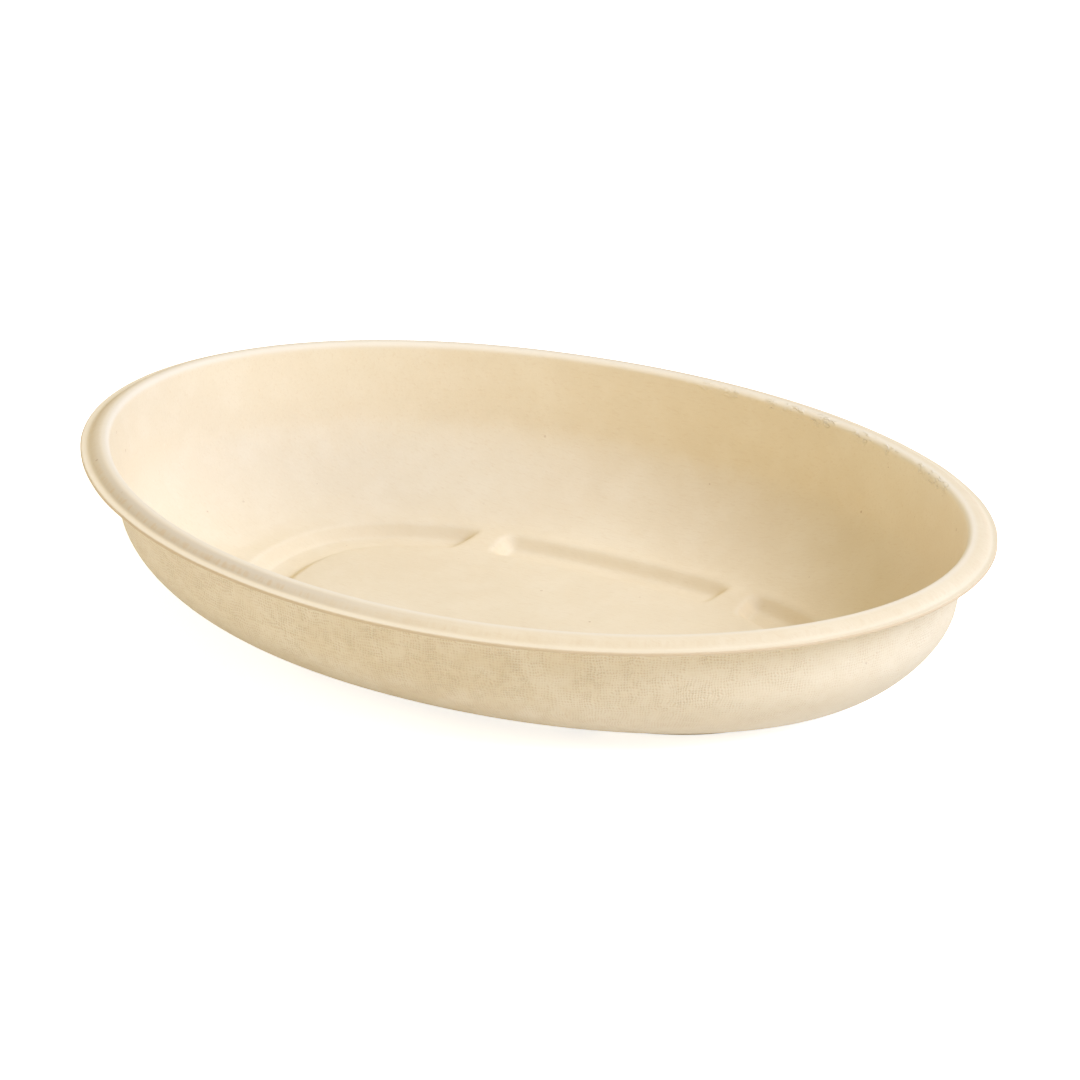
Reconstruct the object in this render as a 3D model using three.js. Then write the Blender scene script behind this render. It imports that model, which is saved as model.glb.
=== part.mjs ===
// Oval dish pressed from plant fibre: one thin sheet of even thickness that runs from a
// trimmed lip over a rolled rim, down a drafted wall and a wide sweep to a flat floor.
// A ring of four hollow feet is pressed down out of the floor, with a bridge of plain
// floor between each foot and the next.
// Millimetres, +Z up, +X along the dish. The feet stand on z = 0, under the origin.
import * as THREE from "three";

// The whole dish
const RIM_LENGTH = 228.6;
const RIM_WIDTH = 159.9;
const CREST_HEIGHT = 39.5;
const SHEET = 0.9;

// The rim dries into a slight saddle, higher at the two ends and lower at the two sides
const RIM_SADDLE = 1.0;

// Rim section, from the trimmed edge inwards: a flat lip, a crease, a rolled bead
// whose crest is the top of the dish, and a tight shoulder into the wall
const EDGE_BREAK = 0.2;
const LIP_WIDTH = 1.7;
const LIP_DROP = 2.0;
const CREASE_REACH = 0.8;
const BEAD_WIDTH = 3.9;
const SHOULDER_RADIUS = 1.4;

// Wall section: a straight drafted stretch, then a sweep that meets the floor flat
const DRAFT = THREE.MathUtils.degToRad(11);
const SWEEP_TOP = 22.2;
const SWEEP_UPPER_HANDLE_SHARE = 0.42;
const SWEEP_LOWER_HANDLE_SHARE = 0.39;
const FLOOR_INSET = 35.9;
const FLOOR_SQUARENESS = 2.07;

// Feet: one pressed channel round the floor, cut into four by the bridges
const FOOT_DEPTH = 2.6;
const FOOT_INSET_AT_ENDS = 37.6;
const FOOT_INSET_AT_SIDES = 35.9;
const FOOT_WIDTH_AT_ENDS = 15.0;
const FOOT_WIDTH_AT_SIDES = 13.6;
const FOOT_FLANK = 5.6;
const FOOT_RUN_OUT = 6.0;
const FOOT_SQUARENESS = 2.6;
const BRIDGE_WIDTH_OUTSIDE = 4.5;
const BRIDGE_WIDTH_INSIDE = 7.0;
const BRIDGE_OFFSET = 33.7;

// Steps along each stretch of the section, and round a quarter of the dish
const LIP_STEPS = 1;
const CREASE_STEPS = 2;
const BEAD_STEPS = 4;
const SHOULDER_STEPS = 4;
const WALL_STEPS = 1;
const SWEEP_STEPS = 7;
const FLANK_STEPS = 4;
const END_FOOT_STEPS = 8;
const BRIDGE_STEPS = 11;
const SIDE_FOOT_STEPS = 3;
const ARC_TABLE_STEPS = 4000;
const CROSSING_HALVINGS = 40;
const PROBE_SHARE = 0.001;
const MIDDLE_RING_SHARE = 0.5;

const FIBRE_COLOUR = 0xead9b8;

// Heights and half sizes that follow from the sizes above
const FLOOR_TOP = FOOT_DEPTH + SHEET;
const LIP_TOP = CREST_HEIGHT - LIP_DROP;
const CREST_INSET = LIP_WIDTH + BEAD_WIDTH;
const SOLE_TOP = SHEET;

// An oval between an ellipse, squareness 2, and a rounded rectangle, squareness above 2
class OvalCurve extends THREE.Curve {
  constructor(halfLength, halfWidth, squareness) {
    super();
    this.halfLength = halfLength;
    this.halfWidth = halfWidth;
    this.squareness = squareness;
    this.arcLengthDivisions = ARC_TABLE_STEPS;
  }

  getPoint(t, target = new THREE.Vector3()) {
    const angle = 2 * Math.PI * t;
    const bend = (value) => Math.sign(value) * Math.abs(value) ** (2 / this.squareness);
    return target.set(
      this.halfLength * bend(Math.cos(angle)),
      this.halfWidth * bend(Math.sin(angle)),
      0,
    );
  }
}

const rimEdge = new OvalCurve(RIM_LENGTH / 2, RIM_WIDTH / 2, 2);
const floorEdge = new OvalCurve(
  rimEdge.halfLength - FLOOR_INSET,
  rimEdge.halfWidth - FLOOR_INSET,
  FLOOR_SQUARENESS,
);
const footOuterEdge = new OvalCurve(
  rimEdge.halfLength - FOOT_INSET_AT_ENDS,
  rimEdge.halfWidth - FOOT_INSET_AT_SIDES,
  FOOT_SQUARENESS,
);
const footInnerEdge = new OvalCurve(
  footOuterEdge.halfLength - FOOT_WIDTH_AT_ENDS,
  footOuterEdge.halfWidth - FOOT_WIDTH_AT_SIDES,
  FOOT_SQUARENESS,
);
const footTrack = new OvalCurve(
  (footOuterEdge.halfLength + footInnerEdge.halfLength) / 2,
  (footOuterEdge.halfWidth + footInnerEdge.halfWidth) / 2,
  FOOT_SQUARENESS,
);

// The bridges are four straight bands across the dish, at the same distance from its
// middle. This is where a band crosses the foot track, measured along the track.
const trackLengths = footTrack.getLengths();
const trackLength = footTrack.getLength();
const bridgeReachShare = Math.min(BRIDGE_OFFSET / footTrack.halfLength, 1);
const bridgeDistance = trackDistance(
  Math.acos(bridgeReachShare ** (FOOT_SQUARENESS / 2)) / (2 * Math.PI),
);

function trackDistance(t) {
  const place = THREE.MathUtils.euclideanModulo(t, 1) * ARC_TABLE_STEPS;
  const low = Math.floor(place);
  return THREE.MathUtils.lerp(trackLengths[low], trackLengths[low + 1], place - low);
}

// Columns of the sheet, placed by their distance along the foot track and packed more
// closely over the bridges, where the floor rises and falls
function columnTurns() {
  const bridgeZone = BRIDGE_WIDTH_INSIDE + FOOT_RUN_OUT;
  const stops = [0, bridgeDistance - bridgeZone, bridgeDistance + bridgeZone, trackLength / 4];
  const steps = [END_FOOT_STEPS, BRIDGE_STEPS, SIDE_FOOT_STEPS];
  const quarter = steps.flatMap((count, stretch) =>
    Array.from({ length: count }, (_, i) =>
      THREE.MathUtils.lerp(stops[stretch], stops[stretch + 1], i / count),
    ),
  );
  const nextQuarter = [...quarter.slice(1), trackLength / 4]
    .reverse()
    .map((distance) => trackLength / 2 - distance);
  const half = [...quarter, ...nextQuarter];
  const whole = [...half, ...half.map((distance) => trackLength / 2 + distance)];
  return whole.map((distance) => footTrack.getUtoTmapping(distance / trackLength));
}

const turns = columnTurns();

// Section of the upper face, from the trimmed edge to the foot of the straight wall, as
// inset from the edge and height above the ground
function rimCurves() {
  const beadRadius = (BEAD_WIDTH ** 2 + LIP_DROP ** 2) / (2 * LIP_DROP);
  const beadStart = Math.atan2(beadRadius - LIP_DROP, -BEAD_WIDTH) - CREASE_REACH / beadRadius;
  const bead = new THREE.EllipseCurve(
    CREST_INSET,
    CREST_HEIGHT - beadRadius,
    beadRadius,
    beadRadius,
    beadStart,
    Math.PI / 2,
    true,
  );
  const creaseStart = new THREE.Vector2(LIP_WIDTH - CREASE_REACH, LIP_TOP);
  const lip = new THREE.LineCurve(new THREE.Vector2(EDGE_BREAK, LIP_TOP), creaseStart);
  const crease = new THREE.QuadraticBezierCurve(
    creaseStart,
    new THREE.Vector2(LIP_WIDTH, LIP_TOP),
    bead.getPoint(0),
  );
  const shoulder = new THREE.EllipseCurve(
    CREST_INSET,
    CREST_HEIGHT - SHOULDER_RADIUS,
    SHOULDER_RADIUS,
    SHOULDER_RADIUS,
    Math.PI / 2,
    DRAFT,
    true,
  );
  const wallTop = shoulder.getPoint(1);
  const wallRun = (wallTop.y - SWEEP_TOP) * Math.tan(DRAFT);
  const wall = new THREE.LineCurve(wallTop, new THREE.Vector2(wallTop.x + wallRun, SWEEP_TOP));
  return { lip, crease, bead, shoulder, wall };
}

const section = rimCurves();
const wallFoot = section.wall.v2;

// Points of the section, each with the normal that the sheet's thickness is measured on
function sectionRows() {
  const { lip, crease, bead, shoulder, wall } = section;
  const stretches = [
    [lip, LIP_STEPS],
    [crease, CREASE_STEPS],
    [bead, BEAD_STEPS],
    [shoulder, SHOULDER_STEPS],
    [wall, WALL_STEPS],
  ];
  const rows = [sectionRow(lip, 0)];
  for (const [curve, steps] of stretches) {
    for (let i = 1; i <= steps; i += 1) rows.push(sectionRow(curve, i / steps));
  }
  return rows;
}

function sectionRow(curve, alongShare) {
  const tangent = curve.getTangentAt(alongShare);
  return { point: curve.getPointAt(alongShare), normal: new THREE.Vector2(-tangent.y, tangent.x) };
}

// A section point carried round the dish at a constant distance from the trimmed edge
function sweptPoint(t, inset, height) {
  const edge = rimEdge.getPoint(t);
  const outward = new THREE.Vector3(
    edge.x / rimEdge.halfLength ** 2,
    edge.y / rimEdge.halfWidth ** 2,
    0,
  ).normalize();
  return edge.addScaledVector(outward, -inset).setZ(height + saddle(t, height));
}

function saddle(t, height) {
  const riseShare = THREE.MathUtils.smoothstep(height, FLOOR_TOP, SWEEP_TOP);
  return RIM_SADDLE * riseShare * Math.cos(4 * Math.PI * t);
}

// Plan line of a column, from the foot of the wall straight to the inner edge of the foot
// channel, with the distances at which it comes to the flat floor and to the channel
function planLine(t) {
  const start = sweptPoint(t, wallFoot.x, 0).setZ(0);
  const end = footInnerEdge.getPoint(t);
  const direction = end.clone().sub(start);
  const footInner = direction.length();
  direction.normalize();
  return {
    start,
    direction,
    floor: crossing(start, direction, footInner, floorEdge),
    footOuter: crossing(start, direction, footInner, footOuterEdge),
    footInner,
  };
}

// Distance at which a line from outside an oval crosses it, by halving the interval
function crossing(start, direction, reach, oval) {
  let outside = 0;
  let inside = reach;
  for (let i = 0; i < CROSSING_HALVINGS; i += 1) {
    const middle = (outside + inside) / 2;
    const x = Math.abs(start.x + direction.x * middle) / oval.halfLength;
    const y = Math.abs(start.y + direction.y * middle) / oval.halfWidth;
    if (x ** oval.squareness + y ** oval.squareness > 1) outside = middle;
    else inside = middle;
  }
  return (outside + inside) / 2;
}

// The sweep along a column's line, as distance in plan and height above the ground. It
// leaves the wall's foot along the wall's draft and meets the floor flat.
function sweepCurve(run) {
  const upperHandle = (SWEEP_TOP - FLOOR_TOP) * SWEEP_UPPER_HANDLE_SHARE;
  const lowerHandle = run * SWEEP_LOWER_HANDLE_SHARE;
  return new THREE.CubicBezierCurve(
    new THREE.Vector2(0, SWEEP_TOP),
    new THREE.Vector2(upperHandle * Math.tan(DRAFT), SWEEP_TOP - upperHandle),
    new THREE.Vector2(run - lowerHandle, FLOOR_TOP),
    new THREE.Vector2(run, FLOOR_TOP),
  );
}

function sweepHeight(distance, run) {
  if (distance >= run) return FLOOR_TOP;
  const curve = sweepCurve(run);
  let before = 0;
  let beyond = 1;
  for (let i = 0; i < CROSSING_HALVINGS; i += 1) {
    const middle = (before + beyond) / 2;
    if (curve.getPoint(middle).x > distance) beyond = middle;
    else before = middle;
  }
  return curve.getPoint((before + beyond) / 2).y;
}

// How far the sheet is pressed down at a distance inside a channel edge, from 0 to 1
function pressedShare(distance, run) {
  return THREE.MathUtils.smoothstep(distance, 0, run);
}

// Upper face of the sweep, the floor and the feet, at a distance along a column's line
function floorPoint(t, distance) {
  const { start, direction, floor, footOuter, footInner } = planLine(t);
  const sweep = sweepHeight(distance, floor);
  const plain = sweep + saddle(t, sweep);
  const fromEdge = Math.min(distance - footOuter, footInner - distance);
  const across = pressedShare(fromEdge, FOOT_FLANK);
  const inShare = THREE.MathUtils.smoothstep(distance, footOuter, footInner);
  const bridgeWidth = THREE.MathUtils.lerp(BRIDGE_WIDTH_OUTSIDE, BRIDGE_WIDTH_INSIDE, inShare);
  const point = start.addScaledVector(direction, distance);
  const fromBridge = Math.abs(Math.abs(point.x) - BRIDGE_OFFSET) - bridgeWidth / 2;
  const along = pressedShare(fromBridge, FOOT_RUN_OUT);
  return point.setZ(THREE.MathUtils.lerp(plain, SOLE_TOP, across * along));
}

// The lower face lies one sheet thickness below, along the upper face's own normal
function floorPointBelow(t, distance) {
  const around = floorPoint(t + PROBE_SHARE, distance).sub(floorPoint(t - PROBE_SHARE, distance));
  const probe = SHEET * PROBE_SHARE;
  const inwards = floorPoint(t, distance + probe).sub(floorPoint(t, distance - probe));
  const normal = around.cross(inwards).normalize();
  return floorPoint(t, distance).addScaledVector(normal, -SHEET);
}

// Distances along a column's line: down the sweep, then down one flank of the foot
// channel and up the other
function floorDistances(t) {
  const { footOuter, footInner } = planLine(t);
  const curve = sweepCurve(footOuter);
  const sweep = Array.from({ length: SWEEP_STEPS }, (_, i) => {
    const alongShare = (i + 1) / (SWEEP_STEPS + 1);
    return curve.getPoint(alongShare).x;
  });
  const flank = Array.from({ length: FLANK_STEPS + 1 }, (_, i) => (FOOT_FLANK * i) / FLANK_STEPS);
  return [
    ...sweep,
    ...flank.map((distance) => footOuter + distance),
    ...flank.reverse().map((distance) => footInner - distance),
  ];
}

// Joins rings of points, from the middle of the upper face over the trimmed edge to the
// middle of the lower face, into one closed skin
function closedSkin(topPoint, rings, bottomPoint) {
  const count = turns.length;
  const points = [topPoint, ...rings.flat(), bottomPoint];
  const last = points.length - 1;
  const at = (ring, column) => 1 + ring * count + (column % count);
  const faces = [];
  for (let i = 0; i < count; i += 1) {
    faces.push(0, at(0, i), at(0, i + 1));
    for (let ring = 0; ring < rings.length - 1; ring += 1) {
      faces.push(at(ring, i), at(ring + 1, i), at(ring + 1, i + 1));
      faces.push(at(ring, i), at(ring + 1, i + 1), at(ring, i + 1));
    }
    faces.push(at(rings.length - 1, i), last, at(rings.length - 1, i + 1));
  }
  const geometry = new THREE.BufferGeometry().setFromPoints(points);
  geometry.setIndex(faces);
  geometry.computeVertexNormals();
  return geometry;
}

function dishGeometry() {
  const ring = (place) => turns.map(place);
  const rows = sectionRows();
  const wallUpper = rows.map(({ point }) => ring((t) => sweptPoint(t, point.x, point.y)));
  const wallLower = rows.map(({ point, normal }) => {
    const below = point.clone().addScaledVector(normal, -SHEET);
    return ring((t) => sweptPoint(t, below.x, below.y));
  });

  // The cut edge of the sheet, with both its corners broken
  const edgeRings = [LIP_TOP - EDGE_BREAK, LIP_TOP - SHEET + EDGE_BREAK].map((height) =>
    ring((t) => sweptPoint(t, 0, height)),
  );

  const distances = turns.map(floorDistances);
  const floorRings = (place) =>
    distances[0].map((_, row) => turns.map((t, column) => place(t, distances[column][row])));

  // The plain floor inside the ring of feet
  const middle = (height) =>
    ring((t) => footInnerEdge.getPoint(t).multiplyScalar(MIDDLE_RING_SHARE).setZ(height));

  const upper = [...wallUpper, ...floorRings(floorPoint), middle(FLOOR_TOP)];
  const lower = [...wallLower, ...floorRings(floorPointBelow), middle(FOOT_DEPTH)];
  return closedSkin(
    new THREE.Vector3(0, 0, FLOOR_TOP),
    [...upper.reverse(), ...edgeRings, ...lower],
    new THREE.Vector3(0, 0, FOOT_DEPTH),
  );
}

const fibre = new THREE.MeshStandardMaterial({
  name: "pressed_fibre",
  color: FIBRE_COLOUR,
  roughness: 0.95,
  metalness: 0,
});

const dish = new THREE.Mesh(dishGeometry(), fibre);
dish.name = "dish_shell";

const group = new THREE.Group();
group.name = "oval_fibre_dish";
group.add(dish);

export default group;
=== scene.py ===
import math

import bpy
import numpy as np
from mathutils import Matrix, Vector


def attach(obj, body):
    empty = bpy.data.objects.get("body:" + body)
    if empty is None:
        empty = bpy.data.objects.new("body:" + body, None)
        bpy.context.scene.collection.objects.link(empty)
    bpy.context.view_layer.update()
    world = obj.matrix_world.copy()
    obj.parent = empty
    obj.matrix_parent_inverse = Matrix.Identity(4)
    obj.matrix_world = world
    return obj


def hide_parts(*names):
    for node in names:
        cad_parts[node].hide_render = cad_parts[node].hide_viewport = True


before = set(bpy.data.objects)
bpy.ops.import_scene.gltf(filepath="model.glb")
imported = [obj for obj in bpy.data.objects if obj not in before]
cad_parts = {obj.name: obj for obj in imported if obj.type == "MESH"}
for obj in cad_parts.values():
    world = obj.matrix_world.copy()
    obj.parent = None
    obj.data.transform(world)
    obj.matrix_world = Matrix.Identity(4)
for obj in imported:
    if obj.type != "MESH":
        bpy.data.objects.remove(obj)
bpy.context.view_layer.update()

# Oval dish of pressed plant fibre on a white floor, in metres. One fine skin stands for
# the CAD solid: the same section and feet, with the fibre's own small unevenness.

MM = 0.001


def add_object(name, data):
    made = bpy.data.objects.new(name, data)
    bpy.context.scene.collection.objects.link(made)
    return made


# Unit vector from its turn from +X towards +Y and its height above the floor, in degrees
def direction_at(turn, height):
    turn, height = math.radians(turn), math.radians(height)
    level = math.cos(height)
    return Vector((level * math.cos(turn), level * math.sin(turn), math.sin(height)))


# Camera: where it stands as seen from a point inside the dish, how far its aim lies off
# that point, and its lens. Sensor and focal length are in the camera's own millimetres.
CAMERA_TURN = -60.89
CAMERA_HEIGHT = 24.41
CAMERA_ROLL = math.radians(0.06)
CAMERA_DISTANCE = 2.6
CAMERA_TARGET = Vector((0.0, 0.0, 17.6 * MM))
AIM_RIGHT = 1.25 * MM
AIM_UP = 6.65 * MM
SENSOR_WIDTH = 36.0
FOCAL_LENGTH = 369.9
CLIP_START = 0.1
CLIP_END = 50.0


def make_camera():
    away = direction_at(CAMERA_TURN, CAMERA_HEIGHT)
    turn = away.to_track_quat("Z", "Y")
    aim = turn @ Vector((AIM_RIGHT, AIM_UP, 0.0))
    data = bpy.data.cameras.new("camera")
    data.sensor_fit = "HORIZONTAL"
    data.sensor_width = SENSOR_WIDTH
    data.lens = FOCAL_LENGTH
    data.clip_start = CLIP_START
    data.clip_end = CLIP_END
    camera = add_object("camera", data)
    camera.location = CAMERA_TARGET + aim + away * CAMERA_DISTANCE
    camera.rotation_euler = turn.to_euler()
    camera.rotation_euler.rotate_axis("Z", CAMERA_ROLL)
    bpy.context.scene.camera = camera


make_camera()

# The dish in millimetres, with the values of the CAD source. Only the two flanks of the
# feet and their run out towards the bridges are a little shorter here.
RIM_LENGTH = 228.6
RIM_WIDTH = 159.9
RIM_SQUARENESS = 2.0
CREST_HEIGHT = 39.5
SHEET = 0.9
RIM_SADDLE = 1.0
EDGE_BREAK = 0.2
LIP_WIDTH = 1.7
LIP_DROP = 2.0
CREASE_REACH = 0.8
BEAD_WIDTH = 3.9
SHOULDER_RADIUS = 1.4
DRAFT = math.radians(11.0)
SWEEP_TOP = 22.2
SWEEP_UPPER_HANDLE_SHARE = 0.42
SWEEP_LOWER_HANDLE_SHARE = 0.39
FLOOR_INSET = 35.9
FLOOR_SQUARENESS = 2.07
FOOT_DEPTH = 2.6
FOOT_INSET_AT_ENDS = 37.6
FOOT_INSET_AT_SIDES = 35.9
FOOT_WIDTH_AT_ENDS = 15.0
FOOT_WIDTH_AT_SIDES = 13.6
FOOT_FLANK_OUTSIDE = 5.2
FOOT_FLANK_INSIDE = 5.0
FOOT_RUN_OUT = 4.1
FOOT_SQUARENESS = 2.6
BRIDGE_WIDTH_OUTSIDE = 4.5
BRIDGE_WIDTH_INSIDE = 7.0
BRIDGE_OFFSET = 33.7

FLOOR_TOP = FOOT_DEPTH + SHEET
LIP_TOP = CREST_HEIGHT - LIP_DROP
CREST_INSET = LIP_WIDTH + BEAD_WIDTH

# The trim runs a little off centre, so that the lip is wider at the left end, and the cut
# edge wavers inwards: waves round the rim, how deep each is, and where it starts
TRIM_SHIFT = 0.2
EDGE_WAVES = ((7, 0.05, 0.9), (17, 0.04, 2.3), (31, 0.03, 4.1))

# Fineness of the skin: columns round it, steps along each stretch of the section, rings
# in the middle of the floor, and how fine the numeric searches are
COLUMNS = 480
LIP_STEPS = 4
CREASE_STEPS = 5
BEAD_STEPS = 9
SHOULDER_STEPS = 12
WALL_STEPS = 9
SWEEP_STEPS = 22
FLANK_STEPS = 11
SOLE_STEPS = 3
MIDDLE_SHARES = (0.88, 0.74, 0.58, 0.42, 0.26, 0.11)
TRACK_STEPS = 4000
HALVINGS = 40
PROBE = 0.001


def smoothstep(value, low, high):
    share = np.clip((value - low) / (high - low), 0.0, 1.0)
    return share * share * (3.0 - 2.0 * share)


class Oval:
    def __init__(self, half_length, half_width, squareness):
        self.a = half_length
        self.b = half_width
        self.n = squareness

    def inset(self, at_ends, at_sides, squareness):
        return Oval(self.a - at_ends, self.b - at_sides, squareness)

    def at(self, t):
        angle = 2.0 * np.pi * t
        bend = lambda v: np.sign(v) * np.abs(v) ** (2.0 / self.n)
        return np.stack([self.a * bend(np.cos(angle)), self.b * bend(np.sin(angle))], -1)

    def holds(self, p):
        return np.abs(p[..., 0] / self.a) ** self.n + np.abs(p[..., 1] / self.b) ** self.n <= 1.0


rim_edge = Oval(RIM_LENGTH / 2, RIM_WIDTH / 2, RIM_SQUARENESS)
floor_edge = rim_edge.inset(FLOOR_INSET, FLOOR_INSET, FLOOR_SQUARENESS)
foot_outer = rim_edge.inset(FOOT_INSET_AT_ENDS, FOOT_INSET_AT_SIDES, FOOT_SQUARENESS)
foot_inner = foot_outer.inset(FOOT_WIDTH_AT_ENDS, FOOT_WIDTH_AT_SIDES, FOOT_SQUARENESS)
foot_track = Oval(
    (foot_outer.a + foot_inner.a) / 2, (foot_outer.b + foot_inner.b) / 2, FOOT_SQUARENESS)


# The columns stand at even steps along the middle of the feet: the turn of each, from 0 to 1
def column_turns():
    turn = np.linspace(0.0, 1.0, TRACK_STEPS + 1)
    steps = np.linalg.norm(np.diff(foot_track.at(turn), axis=0), axis=1)
    length = np.concatenate([[0.0], np.cumsum(steps)])
    return np.interp(np.arange(COLUMNS) / COLUMNS * length[-1], length, turn)


turns = column_turns()


# Stretches of the rim's section as (inset, height) points with their upward normals
def arc(cx, cy, radius, start, end, steps):
    angle = np.linspace(start, end, steps + 1)
    points = np.stack([cx + radius * np.cos(angle), cy + radius * np.sin(angle)], -1)
    return points, np.stack([np.cos(angle), np.sin(angle)], -1)


def line(start, end, steps):
    start, end = np.array(start), np.array(end)
    share = np.linspace(0.0, 1.0, steps + 1)[:, None]
    direction = (end - start) / np.linalg.norm(end - start)
    return start * (1 - share) + end * share, np.tile([-direction[1], direction[0]], (steps + 1, 1))


def quadratic(p0, p1, p2, steps):
    s = np.linspace(0.0, 1.0, steps + 1)[:, None]
    p0, p1, p2 = np.array(p0), np.array(p1), np.array(p2)
    points = (1 - s) ** 2 * p0 + 2 * s * (1 - s) * p1 + s ** 2 * p2
    tangent = 2 * (1 - s) * (p1 - p0) + 2 * s * (p2 - p1)
    tangent /= np.linalg.norm(tangent, axis=1)[:, None]
    return points, np.stack([-tangent[:, 1], tangent[:, 0]], -1)


def rim_section():
    bead_radius = (BEAD_WIDTH ** 2 + LIP_DROP ** 2) / (2 * LIP_DROP)
    bead_foot = math.atan2(bead_radius - LIP_DROP, -BEAD_WIDTH)
    bead = arc(
        CREST_INSET, CREST_HEIGHT - bead_radius, bead_radius,
        bead_foot - CREASE_REACH / bead_radius, math.pi / 2, BEAD_STEPS)
    crease_start = (LIP_WIDTH - CREASE_REACH, LIP_TOP)
    lip = line((EDGE_BREAK, LIP_TOP), crease_start, LIP_STEPS)
    crease = quadratic(crease_start, (LIP_WIDTH, LIP_TOP), bead[0][0], CREASE_STEPS)
    shoulder = arc(
        CREST_INSET, CREST_HEIGHT - SHOULDER_RADIUS, SHOULDER_RADIUS,
        math.pi / 2, DRAFT, SHOULDER_STEPS)
    top = shoulder[0][-1]
    wall_foot = (top[0] + (top[1] - SWEEP_TOP) * math.tan(DRAFT), SWEEP_TOP)
    stretches = [lip, crease, bead, shoulder, line(top, wall_foot, WALL_STEPS)]
    points = np.concatenate([s[0][1 if i else 0:] for i, s in enumerate(stretches)])
    normals = np.concatenate([s[1][1 if i else 0:] for i, s in enumerate(stretches)])
    return points, normals


section_points, section_normals = rim_section()
wall_foot_inset = section_points[-1][0]


# The rim lifts at both ends and dips at both sides, and the floor stays flat
def saddle(t, height):
    return RIM_SADDLE * smoothstep(height, FLOOR_TOP, SWEEP_TOP) * np.cos(4 * np.pi * t)


# The inset as trimmed. The waves die out at the four outermost points of the rim, so that
# the dish keeps its length and width.
def trimmed(t, inset):
    near_lip = np.interp(inset, (0.0, LIP_WIDTH, CREST_INSET), (0.0, 1.0, 0.0))
    near_edge = np.interp(inset, (0.0, LIP_WIDTH), (1.0, 0.0)) * np.sin(4 * np.pi * t) ** 2
    wave = sum(
        deep * (1 + np.sin(2 * np.pi * count * t + start)) for count, deep, start in EDGE_WAVES)
    return inset - TRIM_SHIFT * np.cos(2 * np.pi * t) * near_lip + wave * near_edge


# Points at an inset square to the rim and at a height
def swept(t, inset, height):
    edge = rim_edge.at(t)
    inset = trimmed(t, inset)
    outward = np.stack([edge[..., 0] / rim_edge.a ** 2, edge[..., 1] / rim_edge.b ** 2], -1)
    outward /= np.linalg.norm(outward, axis=-1, keepdims=True)
    flat = edge - outward * np.asarray(inset)[..., None]
    return np.concatenate([flat, (height + saddle(t, height) + 0 * t)[..., None]], -1)


def swept_ring(inset, height):
    return swept(turns, np.full_like(turns, inset), np.full_like(turns, height))


# For each column, where between 0 and its reach a test comes to hold, by halving
def first_holding(test, reach):
    before, beyond = np.zeros_like(reach), reach.copy()
    for _ in range(HALVINGS):
        middle = (before + beyond) / 2
        past = test(middle)
        before, beyond = np.where(past, before, middle), np.where(past, middle, beyond)
    return (before + beyond) / 2


# The line in plan from the foot of the wall to the inner edge of the feet, and how far
# along it the flat floor, the outer edge of the feet and their inner edge lie
def plan_line(t):
    start = swept(t, np.full_like(t, wall_foot_inset), np.zeros_like(t))[..., :2]
    direction = foot_inner.at(t) - start
    inner = np.linalg.norm(direction, axis=-1)
    direction /= inner[..., None]

    def distance_to(oval):
        return first_holding(lambda d: oval.holds(start + direction * d[..., None]), inner)

    return start, direction, distance_to(floor_edge), distance_to(foot_outer), inner


# The sweep from wall to floor is a cubic: its plan distance and height at a share of it
def sweep_point(share, run):
    depth = SWEEP_TOP - FLOOR_TOP
    upper = depth * SWEEP_UPPER_HANDLE_SHARE
    first, second, third = 3 * share * (1 - share) ** 2, 3 * share ** 2 * (1 - share), share ** 3
    place = first * upper * math.tan(DRAFT) + second * run * (1 - SWEEP_LOWER_HANDLE_SHARE)
    drop = first * upper + (second + third) * depth
    return place + third * run, SWEEP_TOP - drop


def sweep_height(distance, run):
    share = first_holding(lambda s: sweep_point(s, run)[0] > distance, np.ones_like(run))
    return np.where(distance >= run, FLOOR_TOP, sweep_point(share, run)[1])


# The inner face inside the foot of the wall: sweep and floor, with the channels of the feet
# let down into them between the bridges
def floor_surface(t, distance, plan):
    start, direction, floor, outer, inner = plan
    sweep = sweep_height(np.maximum(distance, 0), floor)
    plain = sweep + saddle(t, sweep)
    across = smoothstep(distance - outer, 0.0, FOOT_FLANK_OUTSIDE)
    across = across * smoothstep(inner - distance, 0.0, FOOT_FLANK_INSIDE)
    in_share = smoothstep((distance - outer) / (inner - outer), 0.0, 1.0)
    bridge = BRIDGE_WIDTH_OUTSIDE + (BRIDGE_WIDTH_INSIDE - BRIDGE_WIDTH_OUTSIDE) * in_share
    flat = start + direction * distance[..., None]
    from_bridge = np.abs(np.abs(flat[..., 0]) - BRIDGE_OFFSET) - bridge / 2
    along = smoothstep(from_bridge, 0.0, FOOT_RUN_OUT)
    height = plain + (SHEET - plain) * across * along
    return np.concatenate([flat, height[..., None]], -1)


# Distances in plan from the foot of the wall at which the rings of sweep and feet lie
def floor_distances(outer, inner):
    sole = inner - outer - FOOT_FLANK_OUTSIDE - FOOT_FLANK_INSIDE
    return [
        *(sweep_point(i / SWEEP_STEPS, outer)[0] for i in range(1, SWEEP_STEPS)),
        *(outer + FOOT_FLANK_OUTSIDE * i / FLANK_STEPS for i in range(FLANK_STEPS + 1)),
        *(outer + FOOT_FLANK_OUTSIDE + sole * i / SOLE_STEPS for i in range(1, SOLE_STEPS)),
        *(inner - FOOT_FLANK_INSIDE * i / FLANK_STEPS for i in range(FLANK_STEPS, -1, -1)),
    ]


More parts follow.
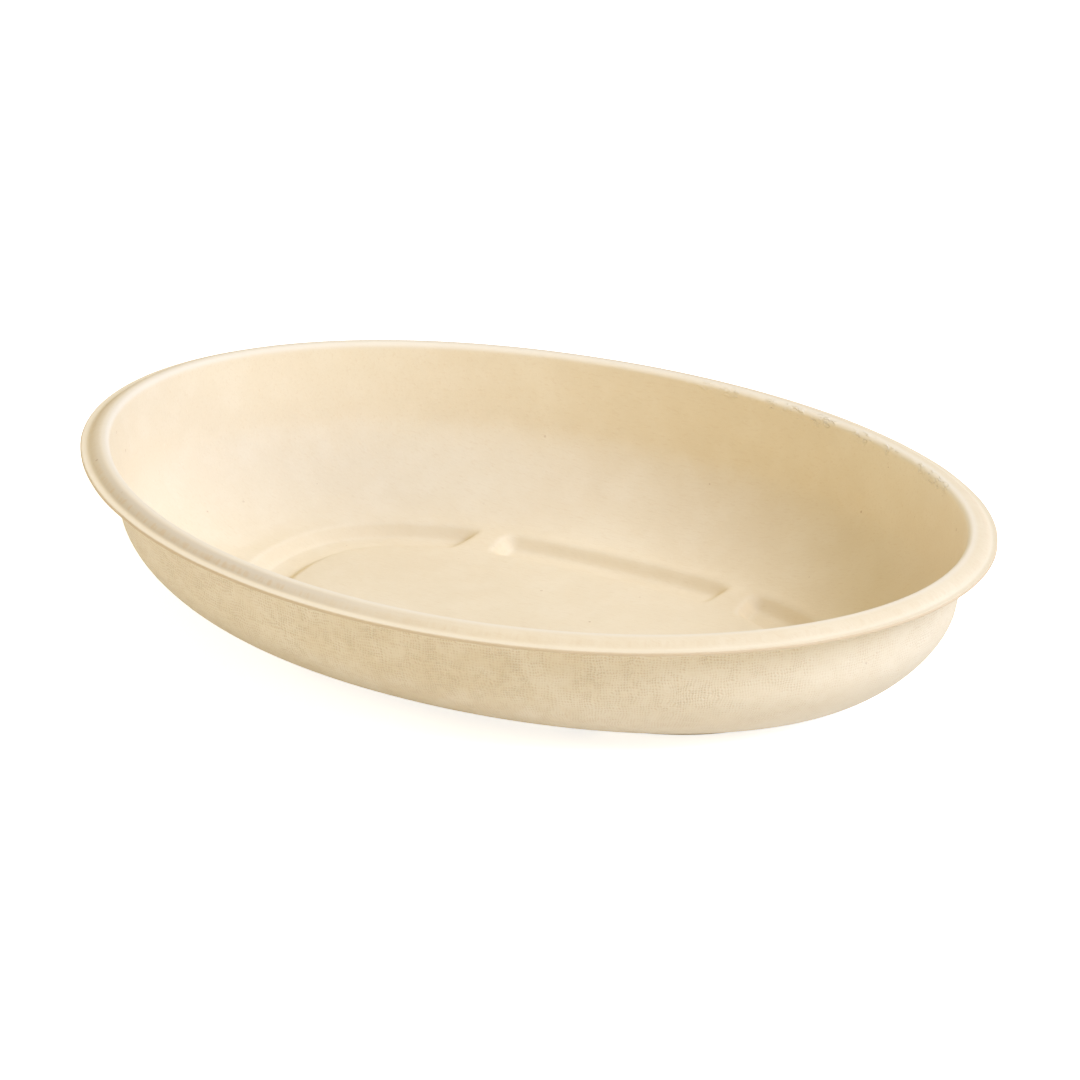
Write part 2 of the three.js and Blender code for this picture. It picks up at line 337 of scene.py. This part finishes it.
# Rings of sweep and feet on the inner face, and the same one sheet's thickness below
def floor_rings():
    plan = plan_line(turns)
    before, after = plan_line(turns - PROBE), plan_line(turns + PROBE)
    upper, lower = [], []
    for distance in floor_distances(plan[3], plan[4]):
        here = floor_surface(turns, distance, plan)
        around = floor_surface(turns + PROBE, distance, after)
        around = around - floor_surface(turns - PROBE, distance, before)
        inwards = floor_surface(turns, distance + PROBE, plan)
        inwards = inwards - floor_surface(turns, distance - PROBE, plan)
        normal = np.cross(around, inwards)
        normal /= np.linalg.norm(normal, axis=1)[:, None]
        upper.append(here)
        lower.append(here - normal * SHEET)
    return upper, lower


def middle_rings(height):
    level = np.full((COLUMNS, 1), height)
    return [np.concatenate([foot_inner.at(turns) * s, level], 1) for s in MIDDLE_SHARES]


# Rings of the skin: inner face from the edge to the middle, cut edge, and outer face
def dish_rings():
    below = section_points - section_normals * SHEET
    upper_floor, lower_floor = floor_rings()
    upper = [swept_ring(*p) for p in section_points] + upper_floor + middle_rings(FLOOR_TOP)
    lower = [swept_ring(*p) for p in below] + lower_floor + middle_rings(FOOT_DEPTH)
    edge_heights = (LIP_TOP - EDGE_BREAK, LIP_TOP - SHEET / 2, LIP_TOP - SHEET + EDGE_BREAK)
    return upper, [swept_ring(0.0, height) for height in edge_heights], lower


# Point numbers of the faces, and the column of each of their corners for the sheet's map.
# The first point is the middle of the inner face, the last is the middle of the outer one.
def dish_faces(ring_count):
    column = np.arange(COLUMNS)
    following = (column + 1) % COLUMNS
    start = 1 + COLUMNS * np.arange(ring_count - 1)[:, None]
    after = start + COLUMNS
    quads = np.stack([start + column, after + column, after + following, start + following], -1)
    quads = quads.reshape(-1, 4)
    end = 1 + (ring_count - 1) * COLUMNS
    top_cap = np.stack([np.zeros(COLUMNS, int), 1 + column, 1 + following], -1)
    bottom_cap = np.stack([end + column, np.full(COLUMNS, end + COLUMNS), end + following], -1)
    cap_columns = np.stack([column, column, column + 1], -1).ravel()
    quad_columns = np.stack([column, column, column + 1, column + 1], -1).ravel()
    corner_columns = [cap_columns, cap_columns, np.tile(quad_columns, ring_count - 1)]
    return [top_cap, bottom_cap, quads], np.concatenate(corner_columns)


# Distances over the sheet in from its cut edge, one row of numbers for each ring
def distances_from_edge(rings):
    steps = [np.linalg.norm(b - a, axis=1) for a, b in zip(rings, rings[1:])]
    first = SHEET / 2
    return np.concatenate([[first + np.zeros(COLUMNS)], first + np.cumsum(steps, axis=0)])


# Sheet coordinates in millimetres: round the rim, and in from the cut edge on both faces
def map_sheet(mesh, upper, edge, lower, corner_points, corner_columns):
    edge_points = rim_edge.at(turns)
    gaps = np.linalg.norm(np.roll(edge_points, -1, 0) - edge_points, axis=1)
    round_rim = np.concatenate([[0.0], np.cumsum(gaps)])
    down_upper = distances_from_edge(upper)[::-1]
    down_lower = distances_from_edge(lower)
    down = np.concatenate([
        [down_upper[0].mean()], down_upper.ravel(), np.zeros(len(edge) * COLUMNS),
        down_lower.ravel(), [down_lower[-1].mean()],
    ])
    sheet = mesh.uv_layers.new(name="sheet")
    corners = np.stack([round_rim[corner_columns], down[corner_points]], -1)
    sheet.uv.foreach_set("vector", corners.ravel())


# Which face each point lies on: 0 inside the dish, 1 outside, and a half on the cut edge
def mark_outside(mesh, upper, edge, lower):
    outside = np.concatenate([
        np.zeros(1 + len(upper) * COLUMNS),
        np.full(len(edge) * COLUMNS, 0.5),
        np.ones(len(lower) * COLUMNS + 1),
    ])
    mesh.attributes.new("outside", "FLOAT", "POINT").data.foreach_set("value", outside)


def build_dish():
    upper, edge, lower = dish_rings()
    rings = upper[::-1] + edge + lower
    points = np.concatenate([[[0.0, 0.0, FLOOR_TOP]], *rings, [[0.0, 0.0, FOOT_DEPTH]]])
    faces, corner_columns = dish_faces(len(rings))
    mesh = bpy.data.meshes.new("pressed_dish")
    mesh.from_pydata((points * MM).tolist(), [], [f for part in faces for f in part.tolist()])
    mesh.update()
    mesh.shade_smooth()
    corner_points = np.concatenate([part.ravel() for part in faces])
    map_sheet(mesh, upper, edge, lower, corner_points, corner_columns)
    mark_outside(mesh, upper, edge, lower)
    return add_object("pressed_dish", mesh)


dish = build_dish()


# A small helper for node trees: makes nodes, sets constants and joins sockets
class Nodes:
    def __init__(self, tree):
        self.tree = tree

    def put(self, socket, value):
        if hasattr(value, "links"):
            self.tree.links.new(value, socket)
        else:
            socket.default_value = value

    def add(self, kind, settings=None, **inputs):
        node = self.tree.nodes.new(kind)
        for name, value in (settings or {}).items():
            setattr(node, name, value)
        for name, value in inputs.items():
            self.put(node.inputs[name.replace("_", " ")], value)
        return node

    def fill(self, node, *values):
        for socket, value in zip(node.inputs, values):
            self.put(socket, value)
        return node.outputs[0]

    def math(self, operation, *values):
        return self.fill(self.add("ShaderNodeMath", {"operation": operation}), *values)

    def product(self, first, *others):
        for value in others:
            first = self.math("MULTIPLY", first, value)
        return first

    # Smooth step from one value to another between a start and an end
    def band(self, value, start, end, low=0.0, high=1.0):
        return self.add(
            "ShaderNodeMapRange", {"interpolation_type": "SMOOTHSTEP"},
            Value=value, From_Min=start, From_Max=end, To_Min=low, To_Max=high).outputs["Result"]

    # Rises from a low value to 1 over the first two places, and falls to 0 over the others
    def window(self, value, places, low=0.0):
        rise_start, rise_end, fall_start, fall_end = places
        rise = self.band(value, rise_start, rise_end, low, 1.0)
        return self.product(rise, self.band(value, fall_start, fall_end, 1.0, 0.0))

    def noise(self, vector, scale, detail, roughness):
        return self.add(
            "ShaderNodeTexNoise", Vector=vector, Scale=scale, Detail=detail,
            Roughness=roughness).outputs["Fac"]

    def split(self, vector):
        return self.add("ShaderNodeSeparateXYZ", Vector=vector).outputs

    def mix_numbers(self, share, first, second):
        node = self.add("ShaderNodeMix", {"data_type": "FLOAT"})
        for index, value in ((0, share), (2, first), (3, second)):
            self.put(node.inputs[index], value)
        return node.outputs[0]

    def mix_colours(self, share, first, second):
        node = self.add("ShaderNodeMix", {"data_type": "RGBA"})
        for index, value in ((0, share), (6, first), (7, second)):
            self.put(node.inputs[index], value)
        return node.outputs[2]


# Colours of the fibre and of the marks on it. Some of them also serve as painted shade and painted
# highlights.
FIBRE = (0.858, 0.757, 0.560, 1.0)
FIBRE_PALE_AND_HIGHLIGHT = (0.915, 0.83, 0.655, 1.0)
CREST_HIGHLIGHT_CREAM = (0.91, 0.845, 0.715, 1.0)
FIBRE_DEEP_AND_SHADE = (0.745, 0.60, 0.395, 1.0)
FIBRE_GOLD_AND_SHADE = (0.69, 0.53, 0.28, 1.0)
SLOPE_SHADE_GREY = (0.69, 0.62, 0.505, 1.0)
FLECK = (0.42, 0.26, 0.12, 1.0)
EDGE_BROWN_AND_SHADE = (0.62, 0.45, 0.26, 1.0)

# Noises: scale for a millimetre, detail and roughness. The space of the streaks is turned
# one way and another, and stretched along each axis.
WIRE_WANDER = (0.22, 2.0, 0.6)
WORN_NOISE = (0.11, 2.0, 0.6)
PATCHY_NOISE = (0.55, 2.0, 0.6)
STREAK_NOISE = (1.0, 3.0, 0.6)
GRAIN_NOISE = (1.6, 3.0, 0.65)
CLUMP_NOISE = (0.13, 3.0, 0.55)
CLOUD_NOISE = (0.022, 2.0, 0.5)
RIM_NOISE = (1.0, 2.0, 0.6)
STREAK_TURNS = ((0.4, 0.2, 0.5), (0.4, 0.2, 2.0))
STREAK_STRETCH = (0.35, 2.6, 1.4)

# From here on a band is its start, its end and its value at each, 0 and 1 if not given.
# The wire cloth's imprint on the outer face is worn in places and patchy, and it fades
# towards the floor and towards the right end. Its wires turn from the wall's way to the
# floor's way where the sheet lies flat enough.
WIRE_PITCH = 0.76
WIRE_WAVER = 2.4
WIRES_TURN = (0.72, 0.86)
WORN = (0.30, 0.62, 0.40, 1.0)
PATCHY = (0.34, 0.60, 0.25, 1.25)
FADES_DOWN = (14.0, 44.0, 1.5, 0.75)
FADES_RIGHT = (62.0, 104.0, 1.0, 0.50)
# The pits of the imprint are painted darker as painted shade, besides their relief
PIT_SHADE_TONE = (-0.2, 1.0, 0.0, 0.95)

# Tones of the fibre itself
CLOUD_TONE = (0.35, 0.65, 0.0, 0.20)
CLUMP_TONE = (0.40, 0.70, 0.0, 0.26)
STREAK_TONE = (0.54, 0.78, 0.0, 0.38)
GRAIN_TONE = (0.52, 0.78, 0.0, 0.26)

# Brown flecks, one at most in each cell: cells in a millimetre, how large and how strong
# the picked ones are, and how uneven their outlines
FLECK_CELLS = 0.27
FLECK_SIZES = (0.80, 1.0, 0.0, 0.10)
FLECK_STRENGTHS = (0.0, 1.0, 0.08, 0.42)
FLECK_RAGGEDNESS = 0.10

# Windows on the rim, in millimetres in from the cut edge, and the share of each tone. These tones
# are painted light: a painted highlight on the lip and on the crest, and painted shade on the bead
# and on its slope.
ON_LIP = (0.45, 0.8, 1.5, 2.3)
ON_SLOPE = (1.6, 2.6, 4.3, 6.3)
ON_BEAD = (1.7, 2.8, 3.4, 5.6)
ON_CREST = (4.8, 6.3, 7.2, 8.8)
ON_WALL_HEAD = (5.8, 7.0, 8.4, 10.4)
LIP_HIGHLIGHT_SHARE = 0.6
SLOPE_SHADE_SHARE = 0.95
BEAD_SHADE_SHARE = 0.12
CREST_HIGHLIGHT_SHARE = 0.72

# Streaks across the bead, with a brown hatching where they are strongest at the left end. The
# hatching and a greyer slope at that end are painted shade, for that end is turned away from the
# key lamp.
RIM_STREAK_SPOTS = (0.85, 0.14, 3.0)
RIM_STREAK_TONE = (0.30, 0.75, 0.0, 0.36)
HATCH_SHADE_TONE = (0.36, 0.62, 0.0, 0.30)
LEFT_SHADE_WINDOW = (-112.0, -78.0, -40.0, 40.0)
LEFT_SHADE_LEAST = 0.22

# Torn fibre at the head of the wall, in clusters along the back right of the rim
TORN_STRETCH = (38.0, 58.0, 128.0, 160.0)
TORN_CLUSTER_SPOTS = (0.07, 0.0, 21.0)
TORN_CLUSTERS = (0.44, 0.54)
TORN_SPOTS = (0.42, 0.75, 9.0)
TORN = (0.50, 0.64)
TORN_SHARE = 0.55

# Golden tone as painted shade: on the flanks of the channels, by slope and height, and on the wall
# inside at the right, by X and distance from the edge. A golden patch on the near wall, by its
# middle and half widths in X and Z, its ragged edge and its strength from the middle out
FLANK_SLOPE = (0.80, 0.97, 1.0, 0.0)
FLANK_HEIGHT = (2.9, 3.45, 1.0, 0.0)
FLANK_SHADE_SHARE = 0.20
RIGHT_INSIDE_X = (40.0, 100.0)
RIGHT_INSIDE_DOWN = (7.5, 14.0)
RIGHT_INSIDE_SHADE_SHARE = 0.16
PATCH_X = (10.0, 36.0)
PATCH_Z = (25.0, 20.0)
PATCH_RAGGEDNESS = (0.35, 0.65, -0.35, 0.35)
PATCH_TONE = (0.1, 1.3, 0.21, 0.0)

# Browned cut edge, and the sheet's faces told apart
CUT_TONE = (0.0, SHEET * 0.6, 0.60, 0.0)
FACE_LIMIT = 0.75

# Dull finish, a little rougher in the streaks and outside
ROUGHNESS = (0.4, 0.8, 0.86, 0.97)
ROUGHER_OUTSIDE = 0.02
SPECULAR_LEVEL = 0.25

# Relief in millimetres for a full mark of each kind
IMPRINT_RELIEF = -0.052
RIM_STREAK_RELIEF = 0.04
TORN_RELIEF = 0.28
STREAK_RELIEF = 0.020
GRAIN_RELIEF = 0.026
CLUMP_RELIEF = 0.14


# Where a point lies: in space, on the sheet, on which face, and how far it faces upwards
class Place:
    def __init__(self, n):
        places = n.add("ShaderNodeTexCoord").outputs
        in_mm = n.add(
            "ShaderNodeVectorMath", {"operation": "SCALE"}, Vector=places["Object"], Scale=1.0 / MM)
        self.point = in_mm.outputs[0]
        self.x, self.y, self.z = n.split(self.point)
        self.up = n.split(places["Normal"])["Z"]
        self.along, self.down, _ = n.split(
            n.add("ShaderNodeUVMap", {"uv_map": "sheet"}).outputs["UV"])
        outside = n.add("ShaderNodeAttribute", {"attribute_name": "outside"}).outputs["Fac"]
        self.outer = n.math("GREATER_THAN", outside, FACE_LIMIT)
        self.inner = n.math("LESS_THAN", outside, FACE_LIMIT)


# Wire cloth pressed into the outer face: on the wall it runs round and down, under the
# floor it runs along and across
def cloth_imprint(n, at):
    waver = n.product(n.noise(at.point, *WIRE_WANDER), WIRE_WAVER)

    def wire(way):
        return n.math("SINE", n.product(n.math("ADD", way, waver), 2 * math.pi / WIRE_PITCH))

    def woven(first, second):
        return n.product(n.math("ADD", wire(first), wire(second)), 0.5)

    cloth = n.mix_numbers(
        n.band(n.math("ABSOLUTE", at.up), *WIRES_TURN), woven(at.along, at.down), woven(at.x, at.y))
    worn = n.band(n.noise(at.point, *WORN_NOISE), *WORN)
    patchy = n.band(n.noise(at.point, *PATCHY_NOISE), *PATCHY)
    fading = n.product(n.band(at.down, *FADES_DOWN), n.band(at.x, *FADES_RIGHT))
    return n.product(cloth, worn, patchy, at.outer, fading)


# Fine fibres that lie in two directions
def fibre_streaks(n, at):
    ways = []
    for turn in STREAK_TURNS:
        stretched = n.add(
            "ShaderNodeMapping", {"vector_type": "POINT"},
            Vector=at.point, Rotation=turn, Scale=STREAK_STRETCH)
        ways.append(n.noise(stretched.outputs[0], *STREAK_NOISE))
    return n.math("MAXIMUM", *ways)


def brown_flecks(n, at, grain):
    cells = n.add(
        "ShaderNodeTexVoronoi", {"feature": "F1"},
        Vector=at.point, Scale=FLECK_CELLS, Randomness=1.0).outputs
    pick = n.add("ShaderNodeSeparateColor", Color=cells["Color"]).outputs
    unevenness = n.product(n.math("SUBTRACT", grain, 0.5), FLECK_RAGGEDNESS)
    ragged = n.math("ADD", cells["Distance"], unevenness)
    within = n.math("LESS_THAN", ragged, n.band(pick["Red"], *FLECK_SIZES))
    return n.product(within, n.band(pick["Green"], *FLECK_STRENGTHS))


# Noise in sheet coordinates: how fast it changes round the rim and down, and its layer
def rim_noise(n, at, spots):
    round_scale, down_scale, layer = spots
    spot = n.add(
        "ShaderNodeCombineXYZ", X=n.product(at.along, round_scale),
        Y=n.product(at.down, down_scale), Z=layer)
    return n.noise(spot.outputs[0], *RIM_NOISE)


def torn_fibre(n, at):
    clusters = n.band(rim_noise(n, at, TORN_CLUSTER_SPOTS), *TORN_CLUSTERS)
    return n.product(
        n.band(rim_noise(n, at, TORN_SPOTS), *TORN), n.window(at.down, ON_WALL_HEAD), at.inner,
        n.window(at.along, TORN_STRETCH), clusters)


def deep_patch(n, at, clump):
    def squared(value, middle, half_width):
        off = n.math("DIVIDE", n.math("SUBTRACT", value, middle), half_width)
        return n.product(off, off)

    from_middle = n.math("SQRT", n.math("ADD", squared(at.x, *PATCH_X), squared(at.z, *PATCH_Z)))
    from_middle = n.math("ADD", from_middle, n.band(clump, *PATCH_RAGGEDNESS))
    near_side = n.math("LESS_THAN", at.y, 0.0)
    return n.product(n.band(from_middle, *PATCH_TONE), near_side, at.outer)


def fibre_material():
    material = bpy.data.materials.new("pressed_fibre")
    material.use_nodes = True
    n = Nodes(material.node_tree)
    at = Place(n)
    imprint = cloth_imprint(n, at)
    streak = fibre_streaks(n, at)
    grain = n.noise(at.point, *GRAIN_NOISE)
    clump = n.noise(at.point, *CLUMP_NOISE)
    cloud = n.noise(at.point, *CLOUD_NOISE)
    torn = torn_fibre(n, at)
    left_shade = n.window(at.x, LEFT_SHADE_WINDOW, LEFT_SHADE_LEAST)
    on_bead = n.product(n.window(at.down, ON_BEAD), at.inner)
    rim_streak = n.product(rim_noise(n, at, RIM_STREAK_SPOTS), on_bead)
    flank_shade = n.product(n.band(at.up, *FLANK_SLOPE), n.band(at.z, *FLANK_HEIGHT))
    right_inside_shade = n.product(n.band(at.x, *RIGHT_INSIDE_X), n.band(at.down, *RIGHT_INSIDE_DOWN))

    # Layers of colour in order: how far each covers what lies under it, and its colour. Among them
    # are painted shade and painted highlights on the rim, and painted shade on the flanks, on the
    # right inner wall and in the pits of the imprint.
    colour = FIBRE
    for share, tint in (
        (n.band(cloud, *CLOUD_TONE), FIBRE_DEEP_AND_SHADE),
        (n.band(clump, *CLUMP_TONE), FIBRE_PALE_AND_HIGHLIGHT),
        (n.band(streak, *STREAK_TONE), FIBRE_DEEP_AND_SHADE),
        (n.band(grain, *GRAIN_TONE), FIBRE_PALE_AND_HIGHLIGHT),
        # Painted shade on the bead's slope, strongest at the left end
        (n.product(n.window(at.down, ON_SLOPE), at.inner, left_shade, SLOPE_SHADE_SHARE), SLOPE_SHADE_GREY),
        # Painted highlight on the lip
        (n.product(n.window(at.down, ON_LIP), at.inner, LIP_HIGHLIGHT_SHARE), FIBRE_PALE_AND_HIGHLIGHT),
        # Painted shade on the flanks of the channels
        (n.product(flank_shade, at.inner, FLANK_SHADE_SHARE), FIBRE_GOLD_AND_SHADE),
        # Painted shade on the wall inside at the right
        (n.product(right_inside_shade, at.inner, RIGHT_INSIDE_SHADE_SHARE), FIBRE_GOLD_AND_SHADE),
        # Painted highlight on the crest
        (n.product(n.window(at.down, ON_CREST), at.inner, CREST_HIGHLIGHT_SHARE), CREST_HIGHLIGHT_CREAM),
        # Painted shade on the bead
        (n.product(on_bead, BEAD_SHADE_SHARE), FIBRE_DEEP_AND_SHADE),
        (n.band(rim_streak, *RIM_STREAK_TONE), FIBRE_DEEP_AND_SHADE),
        # Brown hatching of the streaks at the left end, as painted shade
        (n.band(n.product(rim_streak, left_shade), *HATCH_SHADE_TONE), EDGE_BROWN_AND_SHADE),
        (n.product(torn, TORN_SHARE), FIBRE_PALE_AND_HIGHLIGHT),
        (deep_patch(n, at, clump), FIBRE_GOLD_AND_SHADE),
        # Pits of the imprint painted darker, as painted shade
        (n.band(imprint, *PIT_SHADE_TONE), FIBRE_DEEP_AND_SHADE),
        (brown_flecks(n, at, grain), FLECK),
        (n.band(at.down, *CUT_TONE), EDGE_BROWN_AND_SHADE),
    ):
        colour = n.mix_colours(share, colour, tint)

    relief = n.product(imprint, IMPRINT_RELIEF)
    for mark, height in (
        (rim_streak, RIM_STREAK_RELIEF),
        (torn, TORN_RELIEF),
        (streak, STREAK_RELIEF),
        (grain, GRAIN_RELIEF),
        (clump, CLUMP_RELIEF),
    ):
        relief = n.math("ADD", relief, n.product(mark, height))
    bump = n.add("ShaderNodeBump", Height=relief, Strength=1.0, Distance=MM)

    shader = material.node_tree.nodes["Principled BSDF"].inputs
    rougher = n.product(at.outer, ROUGHER_OUTSIDE)
    n.put(shader["Base Color"], colour)
    n.put(shader["Roughness"], n.math("ADD", n.band(streak, *ROUGHNESS), rougher))
    n.put(shader["Specular IOR Level"], SPECULAR_LEVEL)
    n.put(shader["Normal"], bump.outputs["Normal"])
    return material


dish.data.materials.append(fibre_material())
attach(dish, "root")
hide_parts("dish_shell")

# White floor just under the soles. It glows where it is looked at, so that it is as white
# as the room round it, and it still takes the dish's shadow.
WHITE = (1.0, 1.0, 1.0, 1.0)
FLOOR_GAP = 0.05 * MM
FLOOR_HALF_WIDTH = 4.0
FLOOR_GREY = (0.9, 0.9, 0.9, 1.0)
FLOOR_GLOW = 0.74


def empty_tree(owner):
    owner.use_nodes = True
    owner.node_tree.nodes.clear()
    return Nodes(owner.node_tree)


def floor_material():
    material = bpy.data.materials.new("floor_white")
    n = empty_tree(material)
    ray = n.add("ShaderNodeLightPath").outputs
    seen = n.math("MAXIMUM", ray["Is Camera Ray"], ray["Is Glossy Ray"])
    seen = n.math("MAXIMUM", seen, ray["Is Transmission Ray"])
    paint = n.add("ShaderNodeBsdfDiffuse", Color=FLOOR_GREY)
    glow = n.add("ShaderNodeEmission", Color=WHITE, Strength=n.product(seen, FLOOR_GLOW))
    both = n.fill(n.add("ShaderNodeAddShader"), paint.outputs[0], glow.outputs[0])
    n.add("ShaderNodeOutputMaterial", Surface=both)
    return material


def make_floor():
    half = FLOOR_HALF_WIDTH
    corners = [(-half, -half), (half, -half), (half, half), (-half, half)]
    mesh = bpy.data.meshes.new("floor")
    mesh.from_pydata([(x, y, -FLOOR_GAP) for x, y in corners], [], [(0, 1, 2, 3)])
    mesh.materials.append(floor_material())
    return add_object("floor", mesh)


floor = make_floor()

# Soft lamps, all at one distance: turn from +X towards +Y, height above the floor, how
# wide the lamp is, the light it gives on a surface that faces it, and its tint
LAMP_DISTANCE = 4.0
COOL = (0.93, 1.02, 1.32)
WARM = (1.13, 1.0, 0.70)
PLAIN = (1.10, 0.95, 0.80)
BLUISH = (0.38, 0.95, 1.95)
LAMPS = {
    "key_right": (1.0, 38.0, 2.2, 2.06, COOL),
    "fill_back": (120.0, 60.0, 2.0, 0.50, WARM),
    "fill_front": (270.0, 10.0, 1.3, 0.46, WARM),
    "fill_left": (202.0, 24.0, 2.0, 0.45, PLAIN),
    "fill_low": (180.0, 4.0, 1.6, 0.20, BLUISH),
}
ROOM_LIGHT = 0.25


# The lamp's energy grows with the square of its distance, so that its light stays the same
def make_lamp(name, turn, height, width, strength, tint):
    towards = direction_at(turn, height)
    data = bpy.data.lights.new(name, "AREA")
    data.shape = "DISK"
    data.size = width
    data.energy = 4 * LAMP_DISTANCE ** 2 * strength
    data.color = tint
    lamp = add_object(name, data)
    lamp.location = towards * LAMP_DISTANCE
    lamp.rotation_euler = towards.to_track_quat("Z", "Y").to_euler()


# The room looks white and lights the dish with a weaker warm light
def make_room():
    world = bpy.data.worlds.new("studio")
    bpy.context.scene.world = world
    n = empty_tree(world)
    light = n.add("ShaderNodeBackground", Color=(*WARM, 1.0), Strength=ROOM_LIGHT)
    white = n.add("ShaderNodeBackground", Color=WHITE, Strength=1.0)
    looked_at = n.add("ShaderNodeLightPath").outputs["Is Camera Ray"]
    mix = n.fill(n.add("ShaderNodeMixShader"), looked_at, light.outputs[0], white.outputs[0])
    n.add("ShaderNodeOutputWorld", Surface=mix)


for lamp_name, facts in LAMPS.items():
    make_lamp(lamp_name, *facts)
make_room()

bpy.context.scene.view_settings.view_transform = "Standard"
